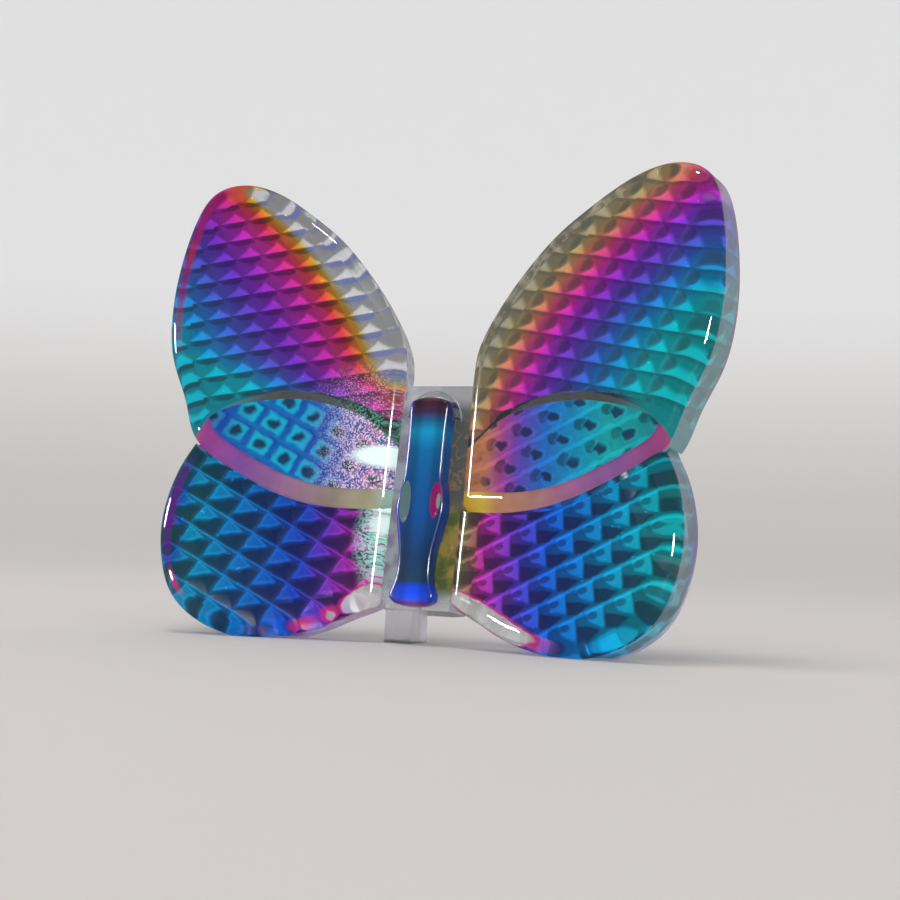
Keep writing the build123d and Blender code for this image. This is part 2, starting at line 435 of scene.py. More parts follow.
def forewing_mesh(name, side, materials):
    """Forewing with its domed front, and the lattice and the lap's pocket in its back."""
    phase = FORE_CROSSING[side]
    tongue = inset(hind_outline(), -BOND)
    arc = inset(hind_outline(), -BOND - ARC_WIDTH)
    near_root = ROOT + BAND_WIDTH + BOND
    band = [
        Vector((point.x if point.x > near_root else ROOT - BOND, point.y))
        for point in inset(fore_outline(), BAND_WIDTH)
    ]
    outline = cut_by(fore_outline(), [tongue, arc, band])
    window = inset(outline, RIM_WIDTH)
    crown = (FORE_CROWN_SHARE[0] * FORE_REACH, FORE_CROWN_SHARE[1] * FORE_RISE)
    pyramids = groove_level(FORE_STEPS, phase)

    def region_of(point):
        if inside(point, tongue):
            return "lens" if inside(point, band) else "band"
        if inside(point, arc):
            return "arc"
        return "lattice" if inside(point, window) else "rim"

    def back_level(region, point):
        if region in ("lens", "band"):
            return LAP_LEVEL + BOND + CLEARANCE
        return pyramids(point) if region == "lattice" else -WING_BACK

    plate = Plate(name, side, outline, materials)
    grid = grid_points(outline, DOME_SPACING, FRONT_ROUND + DOME_MARGIN)
    front = drawn(outline, rim_loops(outline), [], grid, None)
    plate.add_skin(front, lambda point: "front", rounded_front(crown, FORE_FRONT, outline), 1, {})
    edges = lattice_edges(window, FORE_STEPS, phase)
    loops = [window, arc, tongue, band]
    back = drawn(outline, loops, edges, [], lambda point: region_of(point) == "lattice")
    steps = {frozenset(("arc", "lens")): "arc", frozenset(("arc", "band")): "arc"}
    plate.add_skin(back, region_of, back_level, -1, steps)
    return plate.build()


def hindwing_mesh(name, side, materials):
    """Hindwing with its domed front, its tongue for the lap, and the lattice in its back."""
    phase = HIND_CROSSING[side]
    seam = inset(fore_outline(), -BOND)
    outline = cut_by(hind_outline(), [seam])
    window = inset(outline, RIM_WIDTH)
    crown = (HIND_CROWN_SHARE[0] * HIND_REACH, -HIND_CROWN_SHARE[1] * HIND_DROP)
    pyramids = groove_level(HIND_STEPS, phase)
    dome = rounded_front(crown, HIND_FRONT, outline)

    def front_region(point):
        return "tongue" if inside(point, seam) else "front"

    def front_level(region, point):
        return LAP_LEVEL if region == "tongue" else dome(region, point)

    def back_region(point):
        return "lattice" if inside(point, window) else "rim"

    def back_level(region, point):
        return pyramids(point) if region == "lattice" else -WING_BACK

    plate = Plate(name, side, outline, materials)
    grid = grid_points(outline, DOME_SPACING, FRONT_ROUND + DOME_MARGIN)
    front = drawn(outline, [*rim_loops(outline), seam], [], grid, None)
    plate.add_skin(front, front_region, front_level, 1, {})
    edges = lattice_edges(window, HIND_STEPS, phase)
    back = drawn(outline, [window], edges, [], lambda point: inside(point, window))
    plate.add_skin(back, back_region, back_level, -1, {})
    return plate.build()


class Field:
    """A number over the surface, worked out by math nodes and written with ordinary signs."""

    def __init__(self, tree, socket):
        self.tree = tree
        self.socket = socket

    def math(self, operation, *others):
        node = self.tree.nodes.new("ShaderNodeMath")
        node.operation = operation
        for slot, value in zip(node.inputs, (self, *others)):
            if isinstance(value, Field):
                self.tree.links.new(value.socket, slot)
            else:
                slot.default_value = value
        return Field(self.tree, node.outputs[0])

    def __add__(self, other):
        return self.math("ADD", other)

    __radd__ = __add__

    def __sub__(self, other):
        return self.math("SUBTRACT", other)

    def __rsub__(self, other):
        return (self * -1) + other

    def __mul__(self, other):
        return self.math("MULTIPLY", other)

    __rmul__ = __mul__

    def __abs__(self):
        return self.math("ABSOLUTE")

    def fraction(self):
        return self.math("FRACT")

    def most(self, other):
        return self.math("MAXIMUM", other)

    def step(self, low, high):
        """Soft step from nought at low to one at high, or the other way round."""
        node = self.tree.nodes.new("ShaderNodeMapRange")
        node.interpolation_type = "SMOOTHSTEP"
        self.tree.links.new(self.socket, node.inputs["Value"])
        node.inputs["From Min"].default_value = min(low, high)
        node.inputs["From Max"].default_value = max(low, high)
        node.inputs["To Min"].default_value = 0.0 if low < high else 1.0
        node.inputs["To Max"].default_value = 1.0 if low < high else 0.0
        return Field(self.tree, node.outputs["Result"])


def linear(colour):
    """Scene value of a colour written as on screen, from 0 to 255."""
    shares = [part / 255 for part in colour]
    return tuple(part / 12.92 if part <= 0.04045 else ((part + 0.055) / 1.055) ** 2.4 for part in shares)


# Sockets of a colour mix: its factor, its two colours and its result
MIX_FACTOR, MIX_FIRST, MIX_SECOND, MIX_RESULT = 0, 6, 7, 2


class Surface:
    """A node material with one shader, and short ways to write its patterns."""

    def __init__(self, name, **settings):
        self.material = bpy.data.materials.new(name)
        self.material.use_nodes = True
        self.tree = self.material.node_tree
        self.shader = self.tree.nodes["Principled BSDF"]
        for label, value in settings.items():
            self.shader.inputs[label.replace("_", " ")].default_value = value
        coords = self.tree.nodes.new("ShaderNodeTexCoord")
        scale = self.tree.nodes.new("ShaderNodeVectorMath")
        scale.operation = "MULTIPLY"
        scale.inputs[1].default_value = (1 / MM, 1 / MM, 1 / MM)
        self.tree.links.new(coords.outputs["Object"], scale.inputs[0])
        self.place = scale.outputs[0]

    def along(self, direction, origin):
        """Distance in millimetres from an origin along a direction."""
        node = self.tree.nodes.new("ShaderNodeVectorMath")
        node.operation = "DOT_PRODUCT"
        self.tree.links.new(self.place, node.inputs[0])
        node.inputs[1].default_value = direction
        return Field(self.tree, node.outputs["Value"]) - origin.dot(direction)

    def attribute(self, name):
        """Number kept on the mesh under a name."""
        node = self.tree.nodes.new("ShaderNodeAttribute")
        node.attribute_name = name
        return Field(self.tree, node.outputs["Fac"])

    def noise(self, size, detail=2.0):
        """Cloudy noise whose blots measure about the given number of millimetres."""
        node = self.tree.nodes.new("ShaderNodeTexNoise")
        node.inputs["Scale"].default_value = 1 / size
        node.inputs["Detail"].default_value = detail
        self.tree.links.new(self.place, node.inputs["Vector"])
        return Field(self.tree, node.outputs["Fac"])

    def ramp(self, field, stops):
        """Colour that follows a field through the given stops."""
        low, high = stops[0][0], stops[-1][0]
        node = self.tree.nodes.new("ShaderNodeValToRGB")
        elements = node.color_ramp.elements
        while len(elements) < len(stops):
            elements.new(1.0)
        for element, (value, colour) in zip(elements, stops):
            element.position = (value - low) / (high - low)
            element.color = (*linear(colour), 1)
        share = (field - low) * (1 / (high - low))
        self.tree.links.new(share.socket, node.inputs["Fac"])
        return node.outputs["Color"]

    def curve(self, field, points):
        """Value that follows a field through the given places."""
        highest = max(value for _, value in points)
        low, high = points[0][0], points[-1][0]
        node = self.tree.nodes.new("ShaderNodeFloatCurve")
        line = node.mapping.curves[0]
        line.points[0].location = (0.0, points[0][1] / highest)
        line.points[1].location = (1.0, points[-1][1] / highest)
        for place, value in points[1:-1]:
            line.points.new((place - low) / (high - low), value / highest)
        node.mapping.update()
        share = (field - low) * (1 / (high - low))
        self.tree.links.new(share.socket, node.inputs["Value"])
        return Field(self.tree, node.outputs["Value"]) * highest

    def mix(self, factor, first, second):
        """The first colour where the factor is nought, and the second where it is one."""
        node = self.tree.nodes.new("ShaderNodeMix")
        node.data_type = "RGBA"
        for place, value in ((MIX_FACTOR, factor), (MIX_FIRST, first), (MIX_SECOND, second)):
            slot = node.inputs[place]
            if isinstance(value, Field):
                self.tree.links.new(value.socket, slot)
            elif isinstance(value, bpy.types.NodeSocket):
                self.tree.links.new(value, slot)
            elif isinstance(value, tuple):
                slot.default_value = (*linear(value), 1)
            else:
                slot.default_value = value
        return node.outputs[MIX_RESULT]

    def scaled_colour(self, colour, amount):
        """A colour made lighter or darker by a field."""
        node = self.tree.nodes.new("ShaderNodeVectorMath")
        node.operation = "SCALE"
        self.tree.links.new(colour, node.inputs[0])
        self.tree.links.new(amount.socket, node.inputs["Scale"])
        return node.outputs[0]

    def feed(self, label, source):
        """Link a field or a colour to one of the shader's sockets."""
        socket = source.socket if isinstance(source, Field) else source
        self.tree.links.new(socket, self.shader.inputs[label])

    def bump(self, height, strength, distance):
        """Ripple the surface by a field, as high as a distance in millimetres."""
        node = self.tree.nodes.new("ShaderNodeBump")
        node.inputs["Strength"].default_value = strength
        node.inputs["Distance"].default_value = distance * MM
        self.tree.links.new(height.socket, node.inputs["Height"])
        self.tree.links.new(node.outputs["Normal"], self.shader.inputs["Normal"])


# Where the warm edge of a forewing's film lies, outward, at heights up the wing
WARM_EDGE = {
    1: ((-8.0, 4.6), (0.0, 5.7), (5.0, 7.0), (10.0, 9.2), (20.0, 16.4), (25.0, 22.0), (31.0, 30.5)),
    -1: ((-8.0, 2.0), (0.0, 3.2), (4.5, 5.5), (6.5, 8.3), (9.0, 10.0), (13.0, 12.2), (17.5, 15.5),
         (22.5, 20.0), (26.5, 24.5), (31.0, 31.5)),
}
FILM_SPREAD = {
    1: ((-8.0, 1.0), (10.0, 1.0), (20.0, 1.25), (31.0, 1.5)),
    -1: ((-8.0, 0.78), (5.0, 0.78), (10.0, 1.0), (31.0, 1.0)),
}
# Film colours of a forewing, by distance outward from that warm edge
FORE_FILM = {
    1: ((-4.0, (158, 154, 136)), (-1.6, (180, 160, 112)), (0.0, (210, 128, 98)), (1.6, (210, 78, 124)),
        (3.2, (204, 50, 158)), (4.8, (176, 40, 190)), (6.8, (124, 50, 196)), (9.6, (84, 72, 196)),
        (12.4, (44, 108, 206)), (15.5, (14, 146, 208)), (19.0, (0, 176, 190)), (26.0, (0, 168, 170))),
    -1: ((-1.0, (190, 190, 194)), (-0.3, (184, 170, 130)), (0.2, (196, 152, 36)), (1.0, (212, 116, 44)),
         (2.2, (208, 62, 70)), (3.6, (204, 44, 122)), (5.6, (192, 40, 166)), (8.4, (148, 40, 184)),
         (11.0, (108, 46, 190)), (14.5, (78, 76, 192)), (18.0, (48, 110, 208)), (21.5, (16, 150, 212)),
         (25.0, (0, 174, 196)), (31.0, (0, 170, 190))),
}
# Painted shade of a forewing's facets: their colours in shade, by the same distance
FORE_SHADE = {
    1: ((-4.0, (84, 92, 84)), (0.0, (74, 70, 62)), (3.2, (84, 30, 70)), (6.8, (56, 20, 96)),
        (9.6, (44, 38, 92)), (14.0, (34, 62, 92)), (20.0, (22, 84, 88)), (26.0, (20, 80, 80))),
    -1: ((-1.0, (108, 116, 170)), (-0.3, (96, 98, 120)), (0.2, (88, 66, 20)), (2.2, (88, 24, 36)),
         (5.6, (78, 20, 84)), (11.0, (48, 22, 96)), (14.5, (42, 42, 92)), (19.0, (34, 64, 96)),
         (25.0, (20, 74, 84)), (31.0, (20, 74, 84))),
}
# Film colours of a hindwing, by distance outward
HIND_FILM = {
    1: ((4.5, (150, 150, 100)), (6.2, (176, 90, 110)), (7.5, (196, 48, 172)), (10.5, (134, 56, 200)),
        (13.0, (74, 66, 208)), (16.0, (18, 96, 220)), (20.0, (4, 124, 212)), (25.0, (0, 154, 200)),
        (30.6, (0, 170, 172)), (31.8, (40, 80, 180)), (32.8, (84, 34, 130))),
    -1: ((4.5, (200, 150, 180)), (7.0, (206, 50, 160)), (9.5, (180, 44, 186)), (12.5, (112, 52, 206)),
         (15.0, (36, 72, 212)), (19.0, (6, 100, 212)), (24.0, (0, 130, 212)), (29.6, (0, 156, 204)),
         (31.6, (10, 100, 196)), (32.6, (96, 30, 140))),
}
# Painted shade of a hindwing's facets: their colours in shade, by distance outward
HIND_SHADE = (
    (4.5, (70, 66, 50)), (7.5, (70, 22, 66)), (12.0, (34, 20, 84)), (17.0, (12, 26, 84)),
    (24.0, (8, 44, 78)), (33.0, (10, 66, 66)),
)
# Film seen on the forewing's floor over the lap, and on its smooth lower band
LENS_FILM = {
    1: ((5.0, (190, 150, 90)), (7.5, (196, 120, 100)), (9.5, (170, 70, 150)), (12.0, (96, 70, 190)),
        (15.0, (30, 110, 205)), (19.0, (0, 150, 200)), (23.0, (0, 172, 178)), (29.0, (10, 140, 150))),
    -1: ((5.0, (200, 160, 190)), (8.0, (196, 110, 170)), (11.0, (140, 120, 190)), (14.0, (50, 140, 190)),
         (18.0, (0, 160, 200)), (23.0, (0, 165, 195)), (27.0, (20, 120, 170)), (30.0, (60, 80, 150))),
}
BAND_FILM = {
    1: ((4.5, (190, 150, 30)), (7.5, (196, 168, 60)), (9.5, (186, 128, 92)), (14.0, (168, 118, 112)),
        (19.0, (150, 92, 140)), (24.0, (132, 84, 150)), (29.0, (150, 60, 120)), (32.0, (200, 80, 90))),
    -1: ((4.5, (140, 190, 186)), (7.5, (168, 162, 130)), (12.0, (150, 134, 124)), (18.0, (150, 104, 144)),
         (24.0, (132, 76, 160)), (29.0, (150, 60, 140)), (32.0, (200, 90, 80))),
}


def wing_fields(surface, side):
    """Distances outward and up, in the wing's own plane."""
    span, rise, _ = wing_frame(side)
    return surface.along(span, HINGE), surface.along(rise, HINGE)


def lattice_fields(out, up, steps, phase):
    """Place within the lattice cell, in shares of its two steps."""
    (ax, ay), (bx, by) = steps
    det = ax * by - ay * bx
    across = (out - phase[0]) * (by / det) - (up - phase[1]) * (bx / det)
    down = (up - phase[1]) * (ax / det) - (out - phase[0]) * (ay / det)
    return across, down


def half_plane(across, down, start, end, soft):
    """One on the left of the line from start to end, nought on its right."""
    along = (end[0] - start[0], end[1] - start[1])
    length = math.hypot(*along)
    signed = ((down - start[1]) * along[0] - (across - start[0]) * along[1]) * (1 / length)
    return signed.step(-soft, soft)


def polygon(across, down, corners, soft=0.04):
    """One inside a convex shape, nought outside, with soft edges."""
    stretches = pairs(corners)
    area = sum(start[0] * end[1] - end[0] * start[1] for start, end in stretches)
    result = None
    for start, end in stretches:
        ends = (start, end) if area > 0 else (end, start)
        side = half_plane(across, down, *ends, soft)
        result = side if result is None else result * side
    return result


def blot(across, down, centre, radii, soft=0.5):
    """One inside an ellipse, with soft edges."""
    a = (across - centre[0]) * (1 / radii[0])
    b = (down - centre[1]) * (1 / radii[1])
    return (a * a + b * b).step(1 + soft, 1 - soft)


def fore_film(surface, side, out, up):
    """Film colour over a forewing, and its darker colour for the facets' painted shade."""
    place = out - surface.curve(up, WARM_EDGE[side])
    place = place.math("DIVIDE", surface.curve(up, FILM_SPREAD[side]))
    return surface.ramp(place, FORE_FILM[side]), surface.ramp(place, FORE_SHADE[side])


def glow(surface, colour, clear=None, strength=0.8):
    """Make a coated face glow in its film colour, a painted glow that stands in for the studio light on it,
    over a base of that colour darkened to four tenths; or let it be clear glass.
    """
    # Painted light: the emission set below glows whatever the lamps do
    shown = surface.mix(0.6, colour, (0, 0, 0))
    if clear is None:
        surface.shader.inputs["Emission Strength"].default_value = strength
    else:
        shown = surface.mix(clear, shown, (226, 226, 230))
        surface.feed("Transmission Weight", clear)
        surface.feed("Emission Strength", (1 - clear) * strength)
    surface.feed("Base Color", shown)
    surface.feed("Emission Color", colour)
    return surface.material


def streak(field, centre, half_width, soft):
    """One along a line where a field is near a value, nought away from it."""
    return abs(field - centre).step(half_width + soft, half_width - soft)


def grains(surface, colour, where, size, *shades):
    """Fine grains of other colours, each where a fine noise lies past its two values."""
    grain = surface.noise(size, 1.0)
    for low, high, amount, shade in shades:
        colour = surface.mix(where * grain.step(low, high) * amount, colour, shade)
    return colour


def fore_lattice(name, side):
    """Coated pyramids of a forewing: each has a facet painted bright, with painted glints, among facets
    painted in shade. The outer rim is crimson.
    """
    surface = Surface(name, **COATED)
    out, up = wing_fields(surface, side)
    across, down = lattice_fields(out, up, FORE_STEPS, FORE_CROSSING[side])
    wave = (surface.noise(1.6) - 0.5) * 0.16
    u, v = (across + wave).fraction(), (down + wave * 0.6).fraction()
    base, dark = fore_film(surface, side, out, up)
    # Painted light and shade of the facets: one facet of each cell painted lit, a blot in the cell and a
    # line along the grooves painted in shade
    if side > 0:
        bright = polygon(u, v, [(1.0, 1.0), (0.44, 0.38), (0.20, 0.95)], 0.12)
        facet_shade = blot(u, v, (0.24, 0.44), (0.16, 0.40), 0.8).most(streak(v, 0.06, 0.09, 0.07) * 0.7) * 0.8
    else:
        bright = polygon(u, v, [(0.0, 1.0), (0.88, 0.97), (0.30, 0.42)], 0.08)
        facet_shade = blot(u, v, (0.40, 0.14), (0.44, 0.13), 0.6).most(streak(v, 0.04, 0.06, 0.05) * 0.5)
    # Painted glints on the lit facets
    painted_glint = surface.noise(0.5, 1.0).step(0.70, 0.76) * bright
    tone = 0.47 + bright * 0.62 + painted_glint * 0.9 + (surface.noise(2.4) - 0.5) * 0.22
    colour = surface.mix(facet_shade * 0.9, surface.scaled_colour(base, tone), dark)
    edge = surface.attribute("rim_distance")
    rim = surface.mix(surface.noise(5.0).step(0.35, 0.65), (130, 16, 96), (160, 30, 60))
    if side > 0:
        reach = edge.step(0.8, 0.4) * out.step(31.0, 33.0) * up.step(26.0, 23.0)
        colour = surface.mix(reach * 0.8, colour, rim)
        colour = surface.mix(blot(out, up, (32.4, 27.2), (1.3, 1.6), 0.5) * 0.7, colour, (168, 160, 196))
        colour = surface.mix(blot(out, up, (30.0, 29.4), (0.9, 0.5), 0.6) * 0.5, colour, (206, 60, 60))
    else:
        colour = surface.mix(edge.step(0.9, 0.3) * out.step(29.0, 31.5) * 0.85, colour, rim)
        colour = surface.mix(blot(out, up, (30.2, 29.3), (1.3, 0.6), 0.6) * 0.6, colour, (222, 80, 70))
    surface.feed("Specular IOR Level", out.step(*GLOSS_START) * 0.12)
    if side < 0:
        # Painted sparkle round the highlight near the left root, in pink and green grains
        glint_patch = blot(out, up, (8.5, -1.5), (8.5, 9.0), 0.6)
        pink, green = (0.50, 0.62, 0.6, (226, 170, 200)), (0.45, 0.36, 0.5, (40, 110, 96))
        colour = grains(surface, colour, glint_patch, 0.22, pink, green)
    return glow(surface, colour)


# Upper edge of a hindwing's clear skirt: height at places outward
SKIRT_TOP = {
    1: ((4.0, -18.6), (8.0, -20.0), (12.0, -22.0), (16.0, -23.8), (20.0, -24.7), (24.0, -24.6),
        (27.5, -23.2), (30.5, -20.4), (32.2, -16.5), (33.4, -10.0)),
    -1: ((4.0, -16.6), (8.0, -19.3), (12.0, -22.0), (16.0, -23.7), (20.0, -24.6), (24.0, -24.5),
         (27.5, -23.2), (30.5, -20.3), (32.2, -16.5), (33.4, -10.0)),
}


def hind_lattice(name, side):
    """Coated pyramids of a hindwing, with the clear skirt under them; facets, lines and glints are painted
    light and shade, and the left one has a painted highlight near the root.
    """
    surface = Surface(name, Roughness=0.2, IOR=GLASS_IOR)
    out, up = wing_fields(surface, side)
    across, down = lattice_fields(out, up, HIND_STEPS, HIND_CROSSING[side])
    wave = (surface.noise(1.5) - 0.5) * 0.14
    across, down = across + wave, down - wave * 0.7
    u, v = across.fraction(), down.fraction()
    shifted = (across + 0.3).fraction() - 0.3
    base = surface.ramp(out, HIND_FILM[side])
    # Painted light and shade of the facets: the lines along the grooves and the light parts of each cell are
    # painted light, the dark shapes painted shade
    if side > 0:
        bright = polygon(u, v, [(1.0, 0.0), (0.685, 0.70), (0.30, 0.33), (0.36, 0.0)], 0.06)
        corners = [(-0.10, 0.33), (0.295, 0.51), (0.56, 0.75), (0.065, 0.935), (-0.276, 0.78)]
        dark = polygon(shifted, v, corners, 0.06).most(blot(u, v, (0.50, 0.18), (0.18, 0.11)) * 0.7)
        line = (abs(v - 0.5) - 0.5).step(-0.11, -0.02)
        tone = 0.34 + bright * 0.56 + line * 0.5
    else:
        outside = polygon(u, v, [(1.0, 0.0), (0.99, 0.76), (0.36, 0.16)], 0.05)
        bright = polygon(u, v, [(0.93, 0.10), (0.92, 0.58), (0.52, 0.19)], 0.05)
        corners = [(0.05, 0.14), (0.33, 0.22), (0.92, 0.82), (0.88, 0.96), (0.08, 0.93)]
        dark = polygon(u, v, corners, 0.10)
        line = (abs(v - 0.5) - 0.5).step(-0.06, -0.02) * 0.7
        tone = 0.34 + (outside * 0.55).most(line * 0.55) - bright * 0.26
    # Painted glints, as fine bright specks
    tone = tone + surface.noise(0.6, 1.0).step(0.70, 0.77) * 0.7 + (surface.noise(2.2) - 0.5) * 0.2
    colour = surface.mix(dark * 0.94, surface.scaled_colour(base, tone), surface.ramp(out, HIND_SHADE))
    skirt = up + surface.curve(out, [(place, -height) for place, height in SKIRT_TOP[side]])
    skirt = skirt + (surface.noise(1.5) - 0.5) * 0.3
    edge = surface.attribute("rim_distance")
    colour = surface.mix(skirt.step(0.45, 0.1) * 0.85, colour, (186, 40, 116))
    colour = surface.mix(edge.step(0.9, 0.5) * out.step(30.0, 32.0) * 0.7, colour, (90, 24, 130))
    if side < 0:
        # Painted highlight near the left root: a white spot inside a halo of pale teal sparkle grains
        glint_patch = blot(out, up, (5.0, -12.5), (3.6, 6.5), 0.8)
        colour = grains(surface, colour, glint_patch, 0.25, (0.36, 0.55, 0.9, (170, 244, 232)))
        colour = surface.mix(blot(out, up, (5.8, -11.6), (1.7, 1.9), 0.5), colour, (232, 255, 252))
    flow = surface.mix(surface.noise(1.3).step(0.35, 0.65), (112, 106, 100), (168, 166, 170))
    surface.feed("Specular IOR Level", out.step(*GLOSS_START) * 0.16)
    clear = skirt.step(0.1, -0.1)
    return glow(surface, surface.mix(clear, colour, flow), clear * 0.55)


def lens_film(name, side):
    """Film over the lap, with the rounded dark marks of the pyramids behind it painted as shade, and a
    painted highlight near the left root.
    """
    surface = Surface(name, **COATED)
    out, up = wing_fields(surface, side)
    across, down = lattice_fields(out, up, HIND_STEPS, LAP_MARK[side])
    wave = (surface.noise(1.4) - 0.5) * 0.3
    u, v = (across + 0.5 + wave).fraction() - 0.5, (down + 0.5 - wave).fraction() - 0.5
    base = surface.ramp(out, LENS_FILM[side])
    mark = [(-0.24, -0.10), (0.0, -0.26), (0.24, 0.05), (0.16, 0.24), (-0.14, 0.22)]
    halo = [(-0.30, -0.14), (0.0, -0.33), (0.31, 0.04), (0.20, 0.31), (-0.19, 0.28)]
    dark, ring = polygon(u, v, mark, 0.09), polygon(u, v, halo, 0.04)
    crescent = blot(u, v, (-0.28, -0.24), (0.20, 0.24), 0.4)
    light = abs(v + 0.04).step(0.36, 0.47)
    # Painted light and shade in each cell: a dark crescent, lighter bands near the cell's edges, and a
    # lighter halo round the mark
    tone = 0.66 - crescent * 0.34 + light * 0.3 + ring * 0.3 + (surface.noise(1.2) - 0.5) * 0.4
    colour = surface.scaled_colour(base, tone)
    if side < 0:
        square = streak(u, 0.0, 0.36, 0.08) * streak(v, 0.0, 0.36, 0.08)
        colour = surface.mix(square, surface.mix(0.7, colour, (6, 40, 160)), base)
    # The dark marks are painted shade of the pyramids behind the lap
    colour = surface.mix(dark * 0.92, colour, (6, 26, 66))
    if side < 0:
        # Painted sparkle round the highlight near the left root, in pale and green grains
        pale, green = (0.48, 0.60, 0.85, (232, 214, 232)), (0.44, 0.34, 0.7, (20, 120, 110))
        colour = grains(surface, colour, out.step(16.0, 9.0), 0.2, pale, green)
        # Painted highlight near the left root: a pale spot
        spot = blot(out, up, (6.0, -3.4), (4.2, 1.3), 0.6)
        colour = surface.mix(spot, colour, (236, 255, 252))
    else:
        amber = surface.mix(surface.noise(1.0), (96, 84, 40), (206, 110, 90))
        colour = surface.mix(out.step(8.6, 6.2) * 0.7, colour, amber)
    return glow(surface, colour)


def band_film(name, side):
    """Smooth mauve band along the forewing's lower edge, with painted shade along both its sides that makes
    it look rounded.
    """
    surface = Surface(name, **COATED)
    out, up = wing_fields(surface, side)
    edge = surface.attribute("rim_distance")
    # Painted shade: darker near the outline and near the band's inner border
    tone = 0.86 + (surface.noise(2.6) - 0.5) * 0.5 - abs(edge - 1.3).step(0.8, 1.4) * 0.28
    colour = surface.scaled_colour(surface.ramp(out, BAND_FILM[side]), tone)
    return glow(surface, colour)


def arc_shadow(name, side):
    """Step of the half-lap, seen through the forewing as an arc of painted shade: dark, and film-coloured
    outward.
    """
    surface = Surface(name, Roughness=0.5, Specular_IOR_Level=0.1)
    out, up = wing_fields(surface, side)
    film = surface.mix(0.5, fore_film(surface, side, out, up)[0], (0, 0, 0))
    colour = surface.mix(out.step(22.0, 27.5), (44, 46, 54), film)
    if side < 0:
        colour = grains(surface, colour, out.step(16.0, 8.0), 0.25, (0.44, 0.6, 1.0, (96, 160, 140)))
    return glow(surface, colour)


def edge_film(name, side, which):
    """Side wall of a wing: film near the root, thinner and half clear towards the outer edge."""
    surface = Surface(name, Roughness=0.08, IOR=GLASS_IOR)
    out, up = wing_fields(surface, side)
    if which == "fore":
        base = fore_film(surface, side, out, up)[0]
        outer = (out - 24.0).step(-4.0, 4.0)
    else:
        base = surface.ramp(out, HIND_FILM[side])
        outer = out.step(24.0, 30.0)
    surface.feed("Specular IOR Level", out.step(5.5, 8.0) * 0.4)
    scallop = surface.noise(1.1).step(0.35, 0.65)
    colour = surface.scaled_colour(base, 0.34 + scallop * 0.5)
    rim = (122, 118, 126) if side > 0 else (126, 30, 96)
    colour = surface.mix(outer * 0.85, colour, rim)
    clear = outer * (0.68 if side > 0 else 0.25)
    if which == "hind":
        clear = clear.most(up.step(-17.0, -20.0) * 0.8)
    elif side < 0:
        clear = clear.most(out.step(24.0, 18.0) * 0.6)
    return glow(surface, colour, clear)


def clear_glass(name, calm=0.0):
    """Clear pressed glass with faint flow marks, and no sharp glints within a distance of the body."""
    surface = Surface(name, Transmission_Weight=1.0, Roughness=0.02, IOR=GLASS_IOR, Specular_IOR_Level=0.3)
    tint = surface.mix(surface.noise(9.0), (244, 246, 242), (232, 236, 230))
    surface.feed("Base Color", tint)
    surface.bump(surface.noise(6.0), 0.15, 0.2)
    if calm:
        root = abs(surface.along(SIDE, HINGE)).step(calm, calm - 2.0)
        surface.feed("Specular IOR Level", 0.3 - root * 0.3)
        surface.feed("Roughness", 0.02 + root * 0.1)
    return surface.material


# Distance from the middle within which the clear fronts show no sharp glints
CALM = 9.0


def build_wings():
    """The four wings with their glass and their films."""
    for side, word in ((1, "right"), (-1, "left")):
        glass = clear_glass(f"{word}_wing_glass", CALM)
        fore = {
            "front": glass,
            "lattice": fore_lattice(f"{word}_forewing_pyramids", side),
            "edge": edge_film(f"{word}_forewing_edge", side, "fore"),
            "lens": lens_film(f"{word}_lap_film", side),
            "band": band_film(f"{word}_band_film", side),
            "arc": arc_shadow(f"{word}_lap_step_shade", side),
        }
        hind = {
            "front": glass,
            "tongue": glass,
            "lattice": hind_lattice(f"{word}_hindwing_pyramids", side),
            "edge": edge_film(f"{word}_hindwing_edge", side, "hind"),
        }
        forewing = forewing_mesh(f"{word}_forewing_glass", side, fore)
        hindwing = hindwing_mesh(f"{word}_hindwing_glass", side, hind)
        for piece, node in ((forewing, f"{word}_forewing"), (hindwing, f"{word}_hindwing")):
            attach(piece, "root")
            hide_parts(node)


# Body: half widths at heights up the hinge line, from the lip to the top
BODY_SIDE = (
    (-20.4, 2.75), (-19.8, 2.8), (-18.6, 2.35), (-17.0, 2.1), (-14.8, 2.2), (-12.0, 2.7), (-9.8, 3.05),
    (-7.8, 2.8), (-6.2, 2.45), (-4.0, 2.4), (-1.0, 2.4), (2.0, 2.5),
)
BODY_TOP, BODY_BOTTOM = 3.4, -21.2
# Points of its arched top and of its lip, across and up
BODY_ARCH = ((2.5, 2.0), (2.25, 2.95), (0.0, BODY_TOP), (-2.25, 2.95), (-2.5, 2.0))
BODY_LIP = ((-2.75, -20.4), (-2.0, -20.95), (0.0, BODY_BOTTOM), (2.0, -20.95), (2.75, -20.4))
BODY_BACK, BODY_PROUD, BODY_ROUND = 1.57, 2.5, 0.55
LIP_FALL = 0.9
# Almond hollows: centre, and half width and half height, then how far each cutter reaches and stands off
ALMONDS = (((-1.85, -9.2), (0.75, 2.6)), ((1.95, -8.9), (0.7, 2.2)))
ALMOND_REACH, ALMOND_LIFT = 1.5, 0.3
# Collar: its section, outward and forward, and the height of its arch's centre
COLLAR_SECTION = ((2.75, 1.3), (3.25, 1.3), (3.25, 2.6), (3.0, 2.9), (2.75, 2.9))
COLLAR_CENTRE = 1.2


def bar_place(across, up, ahead):
    """Point of the body's frame: right, up the hinge line and forward."""
    return (HINGE + SIDE * across + UP * up + FRONT * ahead) * MM


